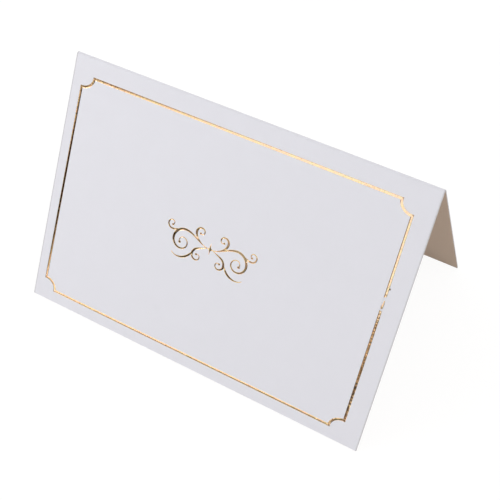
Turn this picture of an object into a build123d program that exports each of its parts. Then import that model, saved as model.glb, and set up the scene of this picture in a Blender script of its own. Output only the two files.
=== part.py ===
from build123d import *
from math import cos, radians, sin
import os

# The folded sheet: a heavy white card, scored once and standing as a tent
card_width = 100.0  # along the fold
panel_height = 70.0  # each panel, from the fold line to its lower edge
card_thickness = 0.35
opening_angle = 57.5  # between the inner faces of the two panels
inner_fold_radius = 0.25
crease_bead_radius = 0.3  # the ridge that scoring raises inside the fold

# The gold line on the front panel: the panel's edges to the middle of the line
left_margin = 3.1
right_margin = 5.15
top_margin = 5.1
bottom_margin = 3.4
line_width = 0.7
scallop_width = 3.4  # each corner of the line turns inwards on a quarter of an ellipse
scallop_height = 3.0

# Hot stamping presses the foil into the card
deboss_depth = 0.08
foil_thickness = 0.05

# The worn stretch of the right-hand line, where the foil has flaked off above and below a chip
worn_top = 41.0  # above the panel's lower edge
upper_flake = 0.9
chip_length = 2.3
lower_flake = 0.45
chip_width = 0.6
# The chip's ragged outline, as shares of its width to the right and of its length down from its top
chip_outline = [(0.0, 0.0), (0.38, 0.05), (0.5, 0.5), (0.42, 0.8)]
chip_outline += [(0.0, 1.0), (-0.42, 0.95), (-0.5, 0.7), (-0.2, 0.4)]

# The scroll ornament in the middle of the border, drawn on a square grid for its right half.
# A run is a list of grid points. A volute is its centre, first and last radius, start angle and sweep.
grid_square = 1.0
stem_run = [(0.5, 0.0), (2.6, 0.5), (5.0, 1.75)]
stem_volute = ((8.0, -1.0), 3.3, 0.8, 80, -470)
upper_curl_run = [(2.2, 0.38), (3.4, 1.15)]
upper_curl_volute = ((3.15, 3.45), 1.75, 0.5, -48, 350)
lower_curl_run = [(0.9, 0.0), (2.6, -0.75)]
lower_curl_volute = ((3.15, -3.2), 1.75, 0.5, 48, -350)
tail_run = [(7.2, 2.28), (9.6, 1.75)]
tail_volute = ((11.75, 2.75), 1.35, 0.45, -60, 300)
leaf_run = [(4.3, -1.7), (5.0, -3.2), (6.4, -4.7), (8.4, -5.35), (10.4, -4.7)]
star_quarter = [(0, 1.7), (0.22, 0.45), (0.75, 0), (0.22, -0.45)]

# The pen that draws the strokes: thin at both ends, and widest part of the way along
hairline = 0.25
stem_swell = 0.7
curl_swell = 0.62
tail_swell = 0.52
swell_place = 0.42  # as a share of the stroke's length
stem_drop = 0.38  # radius of the round drop that ends a stroke
curl_drop = 0.32
degrees_per_point = 70  # between neighbouring points of a volute

half_angle = radians(opening_angle / 2)
foot_reach = panel_height * sin(half_angle)
fold_height = panel_height * cos(half_angle)
fold_inside = fold_height - inner_fold_radius / sin(half_angle) + inner_fold_radius

border_width = card_width - left_margin - right_margin
border_height = panel_height - top_margin - bottom_margin
border_middle = ((left_margin - right_margin) / 2, bottom_margin + border_height / 2)
right_line = border_middle[0] + border_width / 2

# The front panel's outer face, with its origin in the middle of the lower edge and +Y up the panel
outwards = Vector(0, -cos(half_angle), sin(half_angle))
front_face = Plane(
    origin=Vector(0, -foot_reach, 0) + outwards * card_thickness,
    x_dir=(1, 0, 0),
    z_dir=outwards,
)
recess_floor = front_face.offset(-deboss_depth)


def scalloped_panel(growth, mode=Mode.ADD):
    """A rectangle with a quarter ellipse cut from each corner, larger than the border by growth all round."""
    with BuildSketch(mode=Mode.PRIVATE) as panel:
        Rectangle(border_width + 2 * growth, border_height + 2 * growth)
        with GridLocations(border_width, border_height, 2, 2):
            Ellipse(scallop_width - growth, scallop_height - growth, mode=Mode.SUBTRACT)
    with Locations(border_middle):
        add(panel.sketch, mode=mode)


def border_line():
    """The closed gold line, sharp at both ends of each scallop."""
    scalloped_panel(line_width / 2)
    scalloped_panel(-line_width / 2, mode=Mode.SUBTRACT)


def spiral(centre, first_radius, last_radius, start_angle, sweep):
    """Points along a volute, in grid squares, whose radius shrinks by the same share at each step."""
    points = []
    steps = round(abs(sweep) / degrees_per_point)
    for step in range(steps + 1):
        share = step / steps
        radius = first_radius * (last_radius / first_radius) ** share
        angle = radians(start_angle + sweep * share)
        points.append((centre[0] + radius * cos(angle), centre[1] + radius * sin(angle)))
    return points


def pen_stroke(path, swell, drop=0.0):
    """A stroke along the path, a hairline at both ends and swollen between, with a round drop at its end."""
    with BuildLine(mode=Mode.PRIVATE):
        spine = Spline(*[Vector(x, y) * grid_square for x, y in path])
    stations = 2 * (len(path) - 1)  # the ends and middles of one arc for each span of the path
    left, right = [], []
    for station in range(stations + 1):
        share = station / stations
        rise = share / swell_place if share < swell_place else (1 - share) / (1 - swell_place)
        half_width = (hairline + (swell - hairline) * sin(radians(90 * rise)) ** 2) / 2
        aside = (spine % share).rotate(Axis.Z, 90) * half_width
        left.append(spine @ share + aside)
        right.append(spine @ share - aside)
    with BuildLine() as outline:
        for side in (left, right):
            for begin, middle, end in zip(side[::2], side[1::2], side[2::2]):
                ThreePointArc(begin, middle, end)
        Line(left[0], right[0])
        Line(left[-1], right[-1])
    make_face(outline.edges())
    if drop:
        with Locations(spine @ 1):
            Circle(drop)


def flourish():
    """Two mirrored sprays of scrolls that spring from a four-pointed star."""
    with BuildSketch(mode=Mode.PRIVATE) as ornament:
        pen_stroke(stem_run + spiral(*stem_volute), stem_swell, stem_drop)
        pen_stroke(upper_curl_run + spiral(*upper_curl_volute), curl_swell, curl_drop)
        pen_stroke(lower_curl_run + spiral(*lower_curl_volute), curl_swell, curl_drop)
        pen_stroke(tail_run + spiral(*tail_volute), tail_swell, curl_drop)
        pen_stroke(leaf_run, curl_swell)
        mirror(about=Plane.YZ)
        with BuildLine() as star:
            points = star_quarter + [(-x, -y) for x, y in star_quarter]
            Polyline(*[Vector(x, y) * grid_square for x, y in points], close=True)
        make_face(star.edges())
    with Locations(border_middle):
        add(ornament.sketch)


# The folded card: one sheet with a rounded, scored fold, its lower edges cut square
with BuildPart() as folded_card:
    with BuildSketch(Plane.YZ) as section:
        with BuildLine():
            FilletPolyline(
                (-foot_reach, 0),
                (0, fold_height),
                (foot_reach, 0),
                radius=inner_fold_radius,
            )
            offset(amount=card_thickness, side=Side.LEFT)
        make_face()
        with Locations((0, fold_inside)):
            Circle(crease_bead_radius)
    extrude(amount=card_width / 2, both=True)
    with BuildSketch(front_face) as stamped:
        border_line()
        flourish()
    extrude(amount=-deboss_depth, mode=Mode.SUBTRACT)

# The gold border, one strip of foil that is broken by the worn stretch
with BuildPart() as foil_border:
    with BuildSketch(recess_floor):
        border_line()
        worn_length = upper_flake + chip_length + lower_flake
        with Locations((right_line, worn_top - worn_length / 2)):
            Rectangle(2 * line_width, worn_length, mode=Mode.SUBTRACT)
    extrude(amount=foil_thickness)

# The chip of foil inside the worn stretch
with BuildPart() as foil_chip:
    with BuildSketch(recess_floor):
        border_line()
        chip_top = worn_top - upper_flake
        with BuildLine() as ragged_edge:
            Polyline(
                *[(right_line + x * chip_width, chip_top - y * chip_length) for x, y in chip_outline],
                close=True,
            )
        make_face(ragged_edge.edges(), mode=Mode.INTERSECT)
    extrude(amount=foil_thickness)

# The scroll ornament, one piece of foil
with BuildPart() as foil_flourish:
    with BuildSketch(recess_floor):
        flourish()
    extrude(amount=foil_thickness)

os.makedirs("parts", exist_ok=True)
pieces = {
    "folded_card": folded_card,
    "foil_border": foil_border,
    "foil_chip": foil_chip,
    "foil_flourish": foil_flourish,
}
for name, piece in pieces.items():
    piece.part.label = name
    export_step(piece.part, f"parts/{name}.step")
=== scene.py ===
from math import asin, cos, pi, radians, sin

import bmesh
import bpy
from mathutils import Matrix, Vector


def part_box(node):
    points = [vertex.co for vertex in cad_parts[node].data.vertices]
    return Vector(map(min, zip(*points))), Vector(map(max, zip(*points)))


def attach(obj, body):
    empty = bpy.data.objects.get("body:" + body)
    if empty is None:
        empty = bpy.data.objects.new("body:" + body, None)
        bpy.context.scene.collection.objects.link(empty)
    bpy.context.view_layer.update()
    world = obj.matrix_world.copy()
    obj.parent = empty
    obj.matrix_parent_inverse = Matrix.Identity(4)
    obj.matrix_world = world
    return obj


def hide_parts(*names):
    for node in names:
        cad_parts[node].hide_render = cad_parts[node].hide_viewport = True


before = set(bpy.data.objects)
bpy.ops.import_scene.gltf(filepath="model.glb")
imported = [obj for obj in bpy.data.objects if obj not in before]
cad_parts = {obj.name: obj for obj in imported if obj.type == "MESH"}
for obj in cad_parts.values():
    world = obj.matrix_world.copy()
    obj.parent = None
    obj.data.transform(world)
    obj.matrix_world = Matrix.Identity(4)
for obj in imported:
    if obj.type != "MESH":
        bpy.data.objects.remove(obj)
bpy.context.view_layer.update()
mm = 0.001

# The folded card is one sheet of heavy uncoated card, cut to 100 by 140 mm, scored across its
# middle and stood up as a tent. It keeps the shape of its CAD node, with the stamp's recess,
# and gets its paper here: a faint tooth and cloudy fibres, a painted grey shade along the cut
# edges and a painted warm shade on the inside.
card_thickness = 0.35 * mm
opening_angle = 57.5
half_angle = radians(opening_angle / 2)
card_low, card_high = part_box("folded_card")

# A panel's own coordinates: +X along the fold, +Y up the front panel, +Z out of its face
along_fold = Vector((1, 0, 0))
up_panel = Vector((0, sin(half_angle), cos(half_angle)))
outwards = Vector((0, -cos(half_angle), sin(half_angle)))
panel_foot = Vector((0, card_low.y, card_thickness * sin(half_angle)))
panel_to_frame = Matrix((along_fold, up_panel, outwards)).transposed().to_4x4()
panel_to_frame.translation = panel_foot


class Socket:
    """The output of a node. Arithmetic on it adds Math nodes to the same recipe."""

    def __init__(self, recipe, link):
        self.recipe = recipe
        self.link = link

    def math(self, operation, first, second):
        return self.recipe.node("ShaderNodeMath", {"operation": operation}, {0: first, 1: second})

    def __add__(self, other):
        return self.math("ADD", self, other)

    def __sub__(self, other):
        return self.math("SUBTRACT", self, other)

    def __rsub__(self, other):
        return self.math("SUBTRACT", other, self)

    def __mul__(self, other):
        return self.math("MULTIPLY", self, other)

    __radd__ = __add__
    __rmul__ = __mul__

    def rise(self, begin, end, low=0.0, high=1.0):
        """Smoothly from low, where the value is at begin, to high, where it is at end."""
        values = {"Value": self, "From Min": begin, "From Max": end, "To Min": low, "To Max": high}
        return self.recipe.node("ShaderNodeMapRange", {"interpolation_type": "SMOOTHSTEP"}, values)

    def ramp(self, begin, end, high):
        """Straight from 0 to high as the value goes from begin to end, and level outside them."""
        values = {"Value": self, "From Min": begin, "From Max": end, "To Max": high}
        return self.recipe.node("ShaderNodeMapRange", None, values)


class Recipe:
    """The nodes of one material, or of the world."""

    def __init__(self, owner):
        self.owner = owner
        owner.use_nodes = True
        self.tree = owner.node_tree
        self.tree.nodes.clear()

    def feed(self, socket, value):
        """Gives an input socket its link or its value."""
        if isinstance(value, Socket):
            self.tree.links.new(value.link, socket)
        else:
            socket.default_value = value

    def node(self, kind, settings=None, sockets=None, output=0):
        """Adds a node with its settings first, then the values or links of its sockets."""
        added = self.tree.nodes.new(kind)
        for name, value in (settings or {}).items():
            setattr(added, name, value)
        for name, value in (sockets or {}).items():
            self.feed(added.inputs[name], value)
        return Socket(self, added.outputs[output]) if added.outputs else None

    def mix(self, share, first, second):
        """A colour that goes from the first to the second as share goes from 0 to 1."""
        added = self.tree.nodes.new("ShaderNodeMix")
        added.data_type = "RGBA"
        for name, value in (("Factor", share), ("A", first), ("B", second)):
            self.feed(next(s for s in added.inputs if s.name == name and s.enabled), value)
        return Socket(self, next(s for s in added.outputs if s.enabled))

    def noise(self, place, size, detail, seed):
        """Cloudy values from 0 to 1 with spots about as large as size."""
        moved = self.node("ShaderNodeVectorMath", {"operation": "ADD"}, {0: place, 1: (seed, seed, seed)})
        return self.node("ShaderNodeTexNoise", None, {"Vector": moved, "Scale": 1 / size, "Detail": detail})

    def along(self, vector, axis):
        """One coordinate of a vector."""
        return self.node("ShaderNodeSeparateXYZ", None, {"Vector": vector}, axis)

    def spot(self, place, point, core, rim):
        """From 1 within core of a point on the front panel to 0 beyond rim."""
        ends = {0: place, 1: panel_to_frame @ Vector(point)}
        distance = self.node("ShaderNodeVectorMath", {"operation": "DISTANCE"}, ends, "Value")
        return distance.rise(core, rim, 1.0, 0.0)


def linear(red, green, blue):
    """A colour socket's value."""
    return (red, green, blue, 1.0)


paper_white = linear(0.770, 0.772, 0.834)
paper_shade = linear(0.755, 0.757, 0.817)
# The inside faces are the same white card; their darker, browner colour is painted warm shade
inside_painted_shade = linear(0.61, 0.50, 0.42)
# The cut ends' grey is painted shade
cut_edge_painted_shade = linear(0.43, 0.42, 0.43)
paper_roughness = (0.86, 0.95)
paper_gloss = 0.35
cloud_size, fibre_size = 5 * mm, 0.22 * mm
cloud_share, fibre_share, smudge_share = 1.2, 0.9, 0.8
tooth_size, dapple_size = 0.16 * mm, 0.7 * mm
dapple_share = 1.5
tooth_height = 0.006 * mm
grain_range = (0.3, 0.7)
# A face is inside where its normal points down, and a cut end where it points along the fold.
# Each pair holds where that sets in and where it is full: the normal's part upwards, and the
# square of its part along the fold
inner_facing = (-0.3, -0.42)
end_facing = (0.4, 0.8)
# The outer faces carry a painted grey shade along both cut ends
rim_width = 0.45 * mm
rim_share = 0.6
# A faint smudge low on the front, and a dark brown spot where the gold line meets the card
smudge_place = (-11.6 * mm, 12.4 * mm, 0)
smudge_core, smudge_rim = 0.3 * mm, 1.6 * mm
dark_spot_place = (45.3 * mm, 43.3 * mm, 0)
dark_spot_core, dark_spot_rim = 0.14 * mm, 0.34 * mm
dark_spot_brown = linear(0.14, 0.10, 0.07)

paper = Recipe(bpy.data.materials.new("white_card_paper"))
place = paper.node("ShaderNodeTexCoord", output="Object")
facing = paper.node("ShaderNodeNewGeometry", output="True Normal")
clouds = paper.noise(place, cloud_size, detail=3.0, seed=0.0)
fibres = paper.noise(place, fibre_size, detail=2.0, seed=3.0)
smudge = paper.spot(place, smudge_place, smudge_core, smudge_rim)
shading = (clouds - 0.5) * cloud_share + (fibres - 0.5) * fibre_share + smudge * smudge_share + 0.5
inner = paper.along(facing, "Z").rise(*inner_facing)
facing_end = paper.along(facing, "X")
cut_end = (facing_end * facing_end).rise(*end_facing)
across = paper.along(place, "X")
end_rim = (across * across).rise((card_high.x - rim_width) ** 2, card_high.x ** 2)
dark_spot = paper.spot(place, dark_spot_place, dark_spot_core, dark_spot_rim)
colour = paper.mix(shading, paper_white, paper_shade)
# Painted warm shade on the inside faces
colour = paper.mix(inner, colour, inside_painted_shade)
# Painted grey shade: a rim along both cut ends of the outer faces, and the cut ends themselves
colour = paper.mix(end_rim * (1 - inner) * rim_share, colour, cut_edge_painted_shade)
colour = paper.mix(cut_end, colour, cut_edge_painted_shade)
colour = paper.mix(dark_spot, colour, dark_spot_brown)
tooth = paper.noise(place, tooth_size, detail=2.0, seed=5.0)
tooth = tooth + paper.noise(place, dapple_size, detail=2.0, seed=7.0) * dapple_share
bump = paper.node("ShaderNodeBump", None, {"Strength": 1.0, "Distance": tooth_height, "Height": tooth})
surface = {
    "Base Color": colour,
    "Roughness": fibres.rise(*grain_range, *paper_roughness),
    "Specular IOR Level": paper_gloss,
    "Normal": bump,
}
finish = paper.node("ShaderNodeBsdfPrincipled", None, surface)
paper.node("ShaderNodeOutputMaterial", None, {"Surface": finish})

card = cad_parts["folded_card"]
card.data.materials.clear()
card.data.materials.append(paper.owner)

# The gold border is a line of hot-stamped foil, bonded to the card in the groove that the die
# pressed. The groove is a shallow trough, so one side of the line mirrors more light. The foil
# is pitted and crinkled in places, with painted shade in the crinkles' hollows, and on the right
# a stretch has flaked off around a chip.
line_width = 0.7 * mm
left_line, right_line = -46.9 * mm, 44.85 * mm
bottom_line, top_line = 3.4 * mm, 64.9 * mm
scallop_width, scallop_height = 3.4 * mm, 3.0 * mm
border_middle = Vector(((left_line + right_line) / 2, (bottom_line + top_line) / 2, 0))
groove_depth = 0.028 * mm
# The groove's section from its outer to its inner side, as shares of the line's width and of
# the groove's depth
groove_shape = [(0.0, 0.0), (0.03, 0.38), (0.06, 0.66), (0.10, 0.80), (0.20, 0.88)]
groove_shape += [(0.32, 0.94), (0.44, 0.98), (0.55, 1.0), (0.66, 0.99), (0.75, 0.94)]
groove_shape += [(0.81, 0.83), (0.88, 0.55), (0.94, 0.28), (1.0, 0.0)]
edge_level = -0.004 * mm
recess_floor = -0.08 * mm
worn_top, worn_bottom = 41.0 * mm, 37.35 * mm
# The torn ends of the worn stretch: their heights, and how far they lean
torn_ends = ((worn_top, -0.35), (worn_bottom, 0.25))
scallop_steps = 26
corner_hold = 0.1 * mm
weld_distance = 0.001 * mm
border_sharp_angle = 40

foil_gold = linear(0.86, 0.63, 0.33)
foil_rose = linear(0.91, 0.575, 0.34)
foil_copper = linear(1.0, 0.585, 0.275)
foil_pit_and_shade = linear(0.27, 0.15, 0.07)
foil_roughness = (0.05, 0.12)
bare_roughness = 0.7
foil_relief = 0.011 * mm
patch_size, grain_size, flake_size = 1.1 * mm, 0.22 * mm, 0.16 * mm
pit_size, crinkle_size = 0.36 * mm, 0.5 * mm
ripple_size, fine_ripple_size = 0.8 * mm, 0.4 * mm
# The noise values between which a rosier patch, a flake, a pit and a crinkle's painted shade set in
patch_range, flake_range = (0.35, 0.65), (0.75, 0.79)
pit_range, crinkle_shade_range = (0.52, 0.64), (0.44, 0.56)
pit_share, crinkle_shade_share, tip_share = 0.6, 0.75, 0.7
fine_ripple_share = 0.55
ripple_middle = 0.5 + 0.5 * fine_ripple_share
crinkle_height = 1.9
crinkle_stretch = (0.4, 1, 1)
worn_middle = (right_line, (worn_top + worn_bottom) / 2, 0)
wear_core, wear_rim = 1.5 * mm, 7 * mm
wear_share = 0.10
upper_left = (left_line, top_line, 0)
# Where the foil is creased, and where it has crosswise crinkles: each place, how far from it
# they stay at their strongest, how far they reach, and how strong they are
least_creased = 0.3
creased_places = (
    (worn_middle, 8 * mm, 34 * mm, 1.0),
    (upper_left, 4 * mm, 26 * mm, 0.8),
    ((right_line, 10 * mm, 0), 5 * mm, 18 * mm, 0.9),
)
crinkled_places = (
    ((right_line, 21 * mm, 0), 11 * mm, 19 * mm, 1.0),
    (upper_left, 6 * mm, 20 * mm, 0.12),
)
# Above the worn stretch the foil is smooth, and below it a length is rosier, with less painted shade in its
# crinkles
smooth_place = (right_line, 54 * mm, 0)
smooth_core, smooth_rim = 8 * mm, 15 * mm
smooth_creased = 0.3
copper_place = (right_line, 26 * mm, 0)
copper_core, copper_rim = 5 * mm, 13 * mm
copper_smoothing = 0.25
# The outer tips of the scallops, darkened with the same dark brown
tip_inset = 0.05 * mm
tip_reach = line_width / 2 - tip_inset
tip_core, tip_rim = 0.15 * mm, 0.5 * mm
tips = []
for x, inwards in ((left_line, 1), (right_line, -1)):
    for y, upwards in ((bottom_line, 1), (top_line, -1)):
        tips.append((x - inwards * tip_reach, y + upwards * (scallop_height - tip_reach), 0))
        tips.append((x + inwards * (scallop_width - tip_reach), y - upwards * tip_reach, 0))

foil = Recipe(bpy.data.materials.new("stamped_gold_foil"))
place = foil.node("ShaderNodeTexCoord", output="Object")
patches = foil.noise(place, patch_size, detail=2.0, seed=11.0)
grain = foil.noise(place, grain_size, detail=2.0, seed=13.0)
wear = foil.spot(place, worn_middle, wear_core, wear_rim)
flakes = foil.noise(place, flake_size, detail=1.0, seed=17.0)
bare = (flakes + wear * wear_share).rise(*flake_range)
dark_spot = foil.spot(place, dark_spot_place, dark_spot_core, dark_spot_rim)
coppery = foil.spot(place, copper_place, copper_core, copper_rim)
creased = least_creased
for point, core, rim, strength in creased_places:
    creased = foil.spot(place, point, core, rim) * strength + creased
smooth = foil.spot(place, smooth_place, smooth_core, smooth_rim)
creased = creased * (1 - smooth * (1 - smooth_creased))
crinkled = 0.0
for point, core, rim, strength in crinkled_places:
    crinkled = foil.spot(place, point, core, rim) * strength + crinkled
stretching = {0: place, 1: crinkle_stretch}
stretched = foil.node("ShaderNodeVectorMath", {"operation": "MULTIPLY"}, stretching)
crinkle = foil.noise(stretched, crinkle_size, detail=1.0, seed=31.0)
pits_and_shade = foil.noise(place, pit_size, detail=1.0, seed=29.0).rise(*pit_range) * creased * pit_share
# Painted shade in the crinkles' hollows, from the same noise as their bump
crinkle_painted_shade = (1 - crinkle.rise(*crinkle_shade_range)) * crinkled
pits_and_shade = pits_and_shade + crinkle_painted_shade * (crinkle_shade_share - coppery * copper_smoothing)
for tip in tips:
    pits_and_shade = pits_and_shade + foil.spot(place, tip, tip_core, tip_rim) * tip_share
colour = foil.mix(patches.rise(*patch_range), foil_gold, foil_rose)
colour = foil.mix(coppery, colour, foil_copper)
# This dark brown also carries the painted shade of the crinkles
colour = foil.mix(pits_and_shade, colour, foil_pit_and_shade)
colour = foil.mix(bare, colour, paper_white)
colour = foil.mix(dark_spot, colour, dark_spot_brown)
ripple = foil.noise(place, ripple_size, detail=1.0, seed=19.0)
ripple = ripple + foil.noise(place, fine_ripple_size, detail=1.0, seed=23.0) * fine_ripple_share
ripple = (ripple - ripple_middle) * creased + (crinkle - 0.5) * crinkled * crinkle_height
bump = foil.node("ShaderNodeBump", None, {"Strength": 1.0, "Distance": foil_relief, "Height": ripple})
surface = {
    "Base Color": colour,
    "Metallic": 1 - bare,
    "Roughness": grain.rise(*grain_range, *foil_roughness) + bare * bare_roughness,
    "Normal": bump,
}
finish = foil.node("ShaderNodeBsdfPrincipled", None, surface)
foil.node("ShaderNodeOutputMaterial", None, {"Surface": finish})


def quarter_chain(shape, growth, level):
    """A chain of edges round one corner, from the top's middle to the right side's, grown by so much."""
    width, height = scallop_width - growth, scallop_height - growth
    corner = Vector((right_line, top_line, level))
    begin, end = pi - asin(growth / height), 1.5 * pi + asin(growth / width)
    first = shape.verts.new(corner + width * Vector((cos(begin), sin(begin), 0)))
    before = set(shape.verts)
    scallop = bmesh.ops.spin(
        shape,
        geom=[first],
        cent=corner,
        axis=(0, 0, 1),
        angle=end - begin,
        steps=scallop_steps,
    )
    last = scallop["geom_last"][0]
    arc = [vert for vert in shape.verts if vert not in before] + [first]
    squeeze = Vector((1, height / width, 1))
    bmesh.ops.scale(shape, vec=squeeze, space=Matrix.Translation(-corner), verts=arc)
    # A point close to each end of the scallop keeps the shading of the straight runs even
    top_end = shape.verts.new((border_middle.x, corner.y + growth, level))
    top_hold = shape.verts.new(first.co - Vector((corner_hold, 0, 0)))
    side_hold = shape.verts.new(last.co - Vector((0, corner_hold, 0)))
    side_end = shape.verts.new((corner.x + growth, border_middle.y, level))
    shape.edges.new((top_end, top_hold))
    shape.edges.new((top_hold, first))
    shape.edges.new((last, side_hold))
    shape.edges.new((side_hold, side_end))


def finished(shape, name, node, sharp_angle):
    """Places a shape from panel coordinates into the frame, as the piece that stands for a node."""
    bmesh.ops.recalc_face_normals(shape, faces=shape.faces[:])
    bmesh.ops.transform(shape, matrix=panel_to_frame, verts=shape.verts[:])
    mesh = bpy.data.meshes.new(name)
    shape.to_mesh(mesh)
    shape.free()
    mesh.shade_smooth()
    mesh.set_sharp_from_angle(angle=radians(sharp_angle))
    mesh.materials.append(foil.owner)
    piece = bpy.data.objects.new(name, mesh)
    bpy.context.scene.collection.objects.link(piece)
    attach(piece, "root")
    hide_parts(node)


section = []
for share, sunk in groove_shape:
    section.append(((0.5 - share) * line_width, edge_level - sunk * groove_depth))
section += [(-line_width / 2, recess_floor), (line_width / 2, recess_floor)]
shape = bmesh.new()
chains = []
for growth, level in section:
    before = set(shape.edges)
    quarter_chain(shape, growth, level)
    chains.append([edge for edge in shape.edges if edge not in before])
for chain, following in zip(chains, chains[1:] + chains[:1]):
    bmesh.ops.bridge_loops(shape, edges=chain + following)
for axis in "XY":
    every = shape.verts[:] + shape.edges[:] + shape.faces[:]
    bmesh.ops.mirror(shape, geom=every, matrix=Matrix.Translation(-border_middle), axis=axis)
bmesh.ops.remove_doubles(shape, verts=shape.verts[:], dist=weld_distance)
for height, lean in torn_ends:
    bmesh.ops.bisect_plane(
        shape,
        geom=shape.verts[:] + shape.edges[:] + shape.faces[:],
        plane_co=(right_line, height, 0),
        plane_no=(lean, 1, 0),
    )
flaked = []
for face in shape.faces:
    at = face.calc_center_median()
    past_top, past_bottom = [at.y - height + lean * (at.x - right_line) for height, lean in torn_ends]
    if at.x > 0 and past_top < 0 < past_bottom:
        flaked.append(face)
bmesh.ops.delete(shape, geom=flaked, context="FACES")
bmesh.ops.holes_fill(shape, edges=[edge for edge in shape.edges if edge.is_boundary])
finished(shape, "gold_border", "foil_border", border_sharp_angle)

# The chip is what is left of the foil inside the worn stretch, a ragged flake still bonded to
# the bottom of the groove. It is pressed down all round its rim, as every edge of the foil is.
slope_width = 0.1 * mm
slope_depth = 0.032 * mm
slope_sharp_angle = 12
cad_weld_distance = 0.002 * mm
flat_tolerance = radians(2)
facing_out = 0.9  # the least that a top face's normal points out of the panel


def stamped_copy(node):
    """The node's solid in panel coordinates, with its top face framed by a narrow slope."""
    shape = bmesh.new()
    shape.from_mesh(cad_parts[node].data)
    bmesh.ops.remove_doubles(shape, verts=shape.verts[:], dist=cad_weld_distance)
    bmesh.ops.transform(shape, matrix=panel_to_frame.inverted(), verts=shape.verts[:])
    bmesh.ops.dissolve_limit(
        shape,
        angle_limit=flat_tolerance,
        verts=shape.verts[:],
        edges=shape.edges[:],
    )
    shape.normal_update()
    bmesh.ops.inset_region(
        shape,
        faces=[face for face in shape.faces if face.normal.z > facing_out],
        use_even_offset=True,
        thickness=slope_width,
        depth=-slope_depth,
    )
    bmesh.ops.triangulate(shape, faces=[face for face in shape.faces if len(face.verts) > 4])
    return shape


finished(stamped_copy("foil_chip"), "gold_chip", "foil_chip", slope_sharp_angle)

# The scroll ornament is one stamping of the same foil: pen strokes that swell and end in
# volutes. The die's rounded edges leave a narrow slope of foil all round each stroke.
finished(stamped_copy("foil_flourish"), "gold_flourish", "foil_flourish", slope_sharp_angle)

# The table is a plain pale sheet that the card stands on. It shows white, with the card's soft
# shadow kept faint, and the light that it throws back on the card is a little warm.
table_size = 3.0
table_tint = linear(0.82, 0.77, 0.70)
table_glow = 0.92
table_share = linear(0.12, 0.12, 0.12)

sheet = Recipe(bpy.data.materials.new("table_sheet"))
seen = sheet.node("ShaderNodeLightPath", output="Is Camera Ray")
mirrored = sheet.node("ShaderNodeLightPath", output="Is Glossy Ray")
through = sheet.node("ShaderNodeLightPath", output="Is Transmission Ray")
plain = sheet.node("ShaderNodeBsdfDiffuse", None, {"Color": table_tint})
faint = sheet.node("ShaderNodeBsdfDiffuse", None, {"Color": table_share})
glow = sheet.node("ShaderNodeEmission", None, {"Strength": table_glow})
white = sheet.node("ShaderNodeAddShader", None, {0: faint, 1: glow})
finish = sheet.node("ShaderNodeMixShader", None, {0: seen + mirrored + through, 1: plain, 2: white})
sheet.node("ShaderNodeOutputMaterial", None, {"Surface": finish})

shape = bmesh.new()
bmesh.ops.create_grid(shape, x_segments=1, y_segments=1, size=table_size / 2)
mesh = bpy.data.meshes.new("table_sheet")
shape.to_mesh(mesh)
shape.free()
mesh.materials.append(sheet.owner)
table = bpy.data.objects.new("table_sheet", mesh)
# The gold mirrors the room alone, whose lower part stands for the table
table.visible_glossy = False
bpy.context.scene.collection.objects.link(table)

# The room is a pale studio. A dark band lies along its far edge, where wall and table meet, and
# the gold mirrors it. The band's two edges aren't parallel. Two dark screens, a pale patch and a
# bluish window stand in the room, and the light is stronger at the far right.
lower_edge = Vector((0.111, -0.037, 1)).normalized()
upper_edge = Vector((0.295, -0.085, 1)).normalized()
# Degrees from the plane of each edge, and the light there
lower_stops = (
    (-6.0, 1.35),
    (-5.0, 0.75),
    (-4.0, 2.10),
    (-3.5, 2.10),
    (-3.0, 1.25),
    (-2.5, 0.42),
    (-2.0, 0.20),
    (-1.0, 0.04),
    (0.0, 0.0),
)
upper_stops = (
    (1.5, 0.0),
    (3.0, 0.42),
    (4.0, 0.74),
    (5.0, 1.00),
    (7.0, 1.50),
    (9.0, 1.44),
    (12.0, 1.36),
    (20.0, 1.66),
    (34.0, 1.38),
    (50.0, 0.50),
)
# The direction of each screen and of the patch, the share of the light there that it takes or,
# below 0, adds, and the degrees around it to the end of its core and to its rim
dark_screens = (
    (Vector((0.121, -0.983, 0.139)), 0.78, 8.5, 13.0),
    (Vector((-0.754, -0.655, -0.052)), 0.85, 7.0, 11.0),
)
pale_patch = (Vector((-0.325, -0.944, -0.052)), -0.45, 5.0, 13.0)
right_glow = 1.3
glow_core, glow_rim = 18.2, 60.0
daylight = linear(0.955, 1.0, 1.035)
band_brown = linear(1.0, 0.66, 0.34)
band_light = (0.1, 1.1)  # up to the first, the light is the band's brown, and past the second, daylight
window = Vector((-0.19, -0.96, 0.20))
window_core, window_rim = 4.0, 18.0
window_blue = linear(0.96, 1.08, 1.26)
backdrop_white = linear(1, 1, 1)
room_level = 0.87

room = Recipe(bpy.context.scene.world or bpy.data.worlds.new("studio"))
bpy.context.scene.world = room.owner
ray = room.node("ShaderNodeTexCoord", output="Generated")


def towards(direction):
    """The cosine of the angle between the ray and a direction."""
    dot = {"operation": "DOT_PRODUCT"}
    return room.node("ShaderNodeVectorMath", dot, {0: ray, 1: direction.normalized()}, "Value")


def cone(direction, core, rim):
    """From 1 within core degrees of a direction to 0 beyond rim degrees."""
    return towards(direction).rise(cos(radians(rim)), cos(radians(core)))


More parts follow.
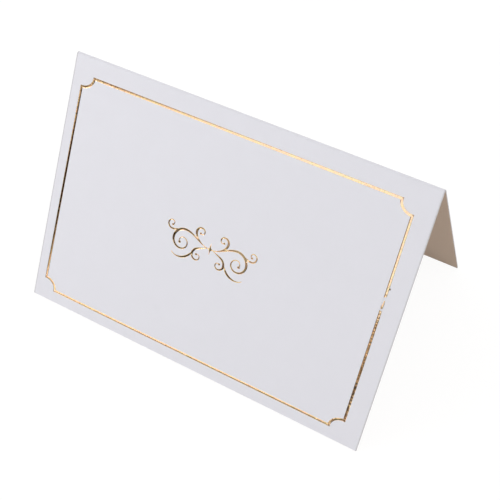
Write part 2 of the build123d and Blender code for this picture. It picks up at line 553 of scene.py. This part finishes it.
light = lower_stops[0][1] + upper_stops[0][1]
for edge, stops in ((lower_edge, lower_stops), (upper_edge, upper_stops)):
    from_edge = towards(edge)
    for (begin, low), (end, high) in zip(stops, stops[1:]):
        light = from_edge.ramp(sin(radians(begin)), sin(radians(end)), high - low) + light
for direction, share, core, rim in dark_screens + (pale_patch,):
    light = light * (1 - cone(direction, core, rim) * share)
light = light * (1 + cone(along_fold, glow_core, glow_rim) * right_glow)
seen = room.node("ShaderNodeLightPath", output="Is Camera Ray")
strength = seen + (1 - seen) * light * room_level
tint = room.mix(light.rise(*band_light), band_brown, daylight)
tint = room.mix(cone(window, window_core, window_rim), tint, window_blue)
tint = room.mix(seen, tint, backdrop_white)
shine = room.node("ShaderNodeBackground", None, {"Color": tint, "Strength": strength})
room.node("ShaderNodeOutputWorld", None, {"Surface": shine})

# One soft lamp, a wide white disk, stands to the front left. Its middle is 0.3 m above the
# table, and it is turned towards the middle of the card's footprint.
lamp_place = Vector((-0.35, -0.22, 0.30))
lamp_size = 0.3
lamp_energy = 0.50

lamp = bpy.data.lights.new("soft_lamp", "AREA")
lamp.shape = "DISK"
lamp.size = lamp_size
lamp.energy = lamp_energy
lamp_stand = bpy.data.objects.new("soft_lamp", lamp)
lamp_turn = lamp_place.to_track_quat("Z", "Y").to_matrix().to_4x4()
lamp_stand.matrix_world = Matrix.Translation(lamp_place) @ lamp_turn
bpy.context.scene.collection.objects.link(lamp_stand)

# The camera stands to the front right of the card and looks down on it. Its place, its turn and
# its lens were fitted to the corners of the gold border and the edges of both panels.
camera_place = (85.67 * mm, -148.44 * mm, 209.98 * mm)
camera_down = 47.168
camera_right = 29.842

camera = bpy.data.cameras.new("camera")
camera.sensor_width = 36.0
camera.lens = 68.43
camera.shift_y = -0.06
camera.clip_start = 0.01
camera_stand = bpy.data.objects.new("camera", camera)
camera_stand.location = camera_place
camera_stand.rotation_euler = (radians(90 - camera_down), 0, radians(camera_right))
bpy.context.scene.collection.objects.link(camera_stand)
bpy.context.scene.camera = camera_stand
bpy.context.scene.view_settings.view_transform = "Standard"
